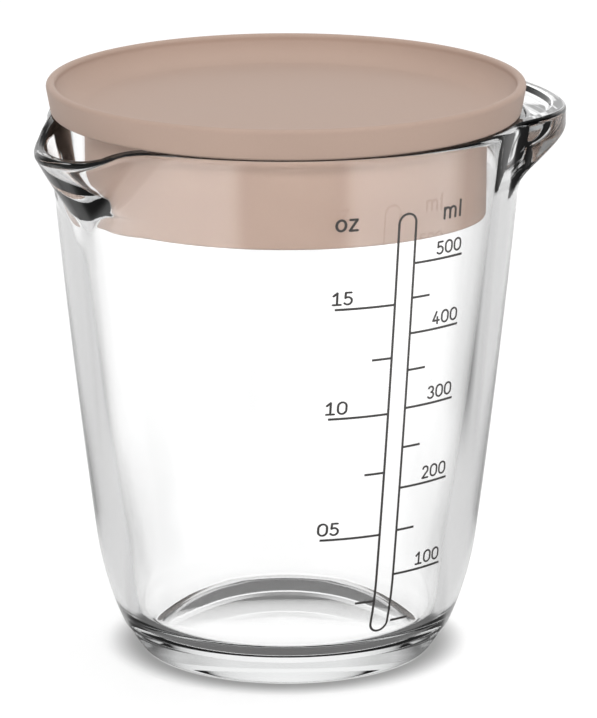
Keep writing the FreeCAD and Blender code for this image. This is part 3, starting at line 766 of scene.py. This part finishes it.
def pen_stroke(line, width, closed):
    """A stroke of ink with round ends along (x, height) points, laid on the wall."""
    line = np.array(line, float)
    before, after = np.roll(line, 1, 0), np.roll(line, -1, 0)
    if not closed:
        before[0], after[-1] = line[0], line[-1]
    way = after - before
    way /= np.linalg.norm(way, axis=1)[:, None]
    half = width / 2
    cuts = [(place, along, half) for place, along in zip(line, way)]
    if not closed:
        slopes = np.radians([80, 60, 40, 20])
        first = [(line[0] - way[0] * half * math.sin(a), way[0], half * math.cos(a))
                 for a in slopes]
        last = [(line[-1] + way[-1] * half * math.sin(a), way[-1], half * math.cos(a))
                for a in slopes[::-1]]
        cuts = first + cuts + last
    points = []
    for place, along, reach in cuts:
        across = np.array((-along[1], along[0])) * reach
        for side, depth in ((1, ink_out), (-1, ink_out), (-1, -ink_in), (1, -ink_in)):
            points.append(on_wall(*(place + side * across), depth))
    size = len(cuts)
    faces = [(4 * a + k, 4 * a + (k + 1) % 4, 4 * b + (k + 1) % 4, 4 * b + k)
             for a in range(size) for b in [(a + 1) % size]
             if closed or b for k in range(4)]
    if not closed:
        faces += [(0, 1, 2, 3), tuple(4 * size - 4 + k for k in range(4))]
    return points, faces


# each letter: its width along the pen's path, and its strokes; heights run from 0 to 2.7
letters = {
    "0": (1.87, [bend(0.935, 1.72, 0.935, 0.98, 0, 180)
                 + bend(0.935, 0.98, 0.935, 0.98, 180, 360)]),
    "1": (1.65, [[(0.05, 2.02), (0.85, 2.7)], [(0.85, 2.7), (0.85, 0)], [(0, 0), (1.65, 0)]]),
    "2": (1.60, [bend(0.78, 1.93, 0.74, 0.77, 160, -38), [(1.36, 1.46), (0.02, 0)],
                 [(0.02, 0), (1.6, 0)]]),
    "3": (1.55, [bend(0.72, 2.04, 0.70, 0.66, 150, -90)
                 + bend(0.72, 0.69, 0.83, 0.69, 90, -150)]),
    "4": (1.75, [[(0.95, 2.7), (0, 0.72)], [(0, 0.72), (1.75, 0.72)],
                 [(1.22, 1.45), (1.22, 0)]]),
    "5": (1.60, [[(1.45, 2.7), (0.22, 2.7)], [(0.22, 2.7), (0.16, 1.5)],
                 bend(0.72, 0.84, 0.88, 0.84, 128, -142)]),
    "o": (1.98, [bend(0.99, 1.21, 0.99, 1.21, 0, 360)]),
    "z": (1.70, [[(0.05, 2.42), (1.6, 2.42)], [(1.6, 2.42), (0.05, 0)], [(0.05, 0), (1.7, 0)]]),
    "m": (3.25, [[(0, 2.42), (0, 0)], bend(0.82, 1.62, 0.80, 0.80, 180, 0) + [(1.62, 0)],
                 bend(2.44, 1.62, 0.81, 0.80, 180, 0) + [(3.25, 0)]]),
    "l": (0, [[(0, 3.55), (0, 0)]])}


def written(text, width, gap, x, height):
    """Numerals or letters drawn with a pen, from x on and standing on a height."""
    parts = []
    x += width / 2
    for letter in text:
        advance, strokes = letters[letter]
        for line in strokes:
            closed = letter in "0o"
            line = line[:-1] if closed else line
            parts.append(pen_stroke(np.add(line, (x, height + width / 2)), width, closed))
        x += advance + width + gap
    return parts


def gathered(parts):
    """Several lots of points and faces as one."""
    points, faces = [], []
    for some_points, some_faces in parts:
        shift = len(points)
        points += some_points
        faces += [tuple(i + shift for i in face) for face in some_faces]
    return points, faces


def mark_height(volume):
    """Height of a level line above the table, by the volume below it in millilitres."""
    cubed = volume * 1000 * gauge_growth * 3 / math.pi + gauge_radius ** 3
    return gauge_start + (cubed ** (1 / 3) - gauge_radius) / gauge_growth


ounce = 29.5735
gauge = {"Line width": ink_line, "Floor height": gauge_start, "Hollow radius": gauge_radius,
         "Hollow growth": gauge_growth, "Long line": 15.9, "Short line": 6.9, "Ink": fired_ink}
numeral_pen, unit_pen, numeral_gap, above = 0.42, 0.52, 0.37, 0.94
ml_parts = [lines_of("millilitre_lines", dict(
    gauge, Marks=10, Side=1.0, **{"Volume per mark": 50.0}))]
for volume in (100, 200, 300, 400, 500):
    ml_parts += written(str(volume), numeral_pen, numeral_gap, 8.2, mark_height(volume) + above)
ml_parts += written("ml", unit_pen, 0.9, 9.68, 108.6)
oz_parts = [lines_of("ounce_lines", dict(
    gauge, Marks=6, Side=-1.0, **{"Volume per mark": 2.5 * ounce}))]
for ounces in (5, 10, 15):
    oz_parts += written("%02d" % ounces, numeral_pen, numeral_gap, -16.6,
                        mark_height(ounces * ounce) + above)
oz_parts += written("oz", unit_pen, 0.35, -16.75, 108.55)



def add_ink(name, points, faces, node):
    """A flat-faced piece of ink, so thin that it leaves no shadow on the skirt."""
    piece = add_piece(name, points, faces, fired_ink, "jug", "scale_ink", node)
    piece.data.polygons.foreach_set("use_smooth", [False] * len(piece.data.polygons))
    piece.visible_shadow = False


add_ink("millilitre_ink", *gathered(ml_parts), "millilitre_print")
add_ink("ounce_ink", *gathered(oz_parts), "ounce_print")

# The column's outline is a slot with round ends, drawn with the same line.
column_half, column_low, column_high = 2.4, 12.7, 111.6


def slot_path(inset):
    """Points round the column's outline, drawn in by an inset, as (x, height) pairs."""
    half = column_half - inset
    places = [(half * math.cos(a), column_low + column_half + half * math.sin(a))
              for a in np.linspace(-math.pi, 0, 25)]
    side = np.linspace(column_low + column_half, column_high - column_half, 30)[1:-1]
    places += [(half, z) for z in side]
    places += [(half * math.cos(a), column_high - column_half + half * math.sin(a))
               for a in np.linspace(0, math.pi, 25)]
    return places + [(-half, z) for z in side[::-1]]


loops = [[on_wall(x, z, depth) for x, z in slot_path(inset)]
         for inset, depth in ((0, -ink_in), (0, ink_out), (ink_line, ink_out),
                              (ink_line, -ink_in))]
around = len(loops[0])
column_faces = [(a * around + j, a * around + (j + 1) % around,
                 ((a + 1) % 4) * around + (j + 1) % around, ((a + 1) % 4) * around + j)
                for a in range(4) for j in range(around)]
add_ink("column_ink", sum(loops, []), column_faces, "column_print")
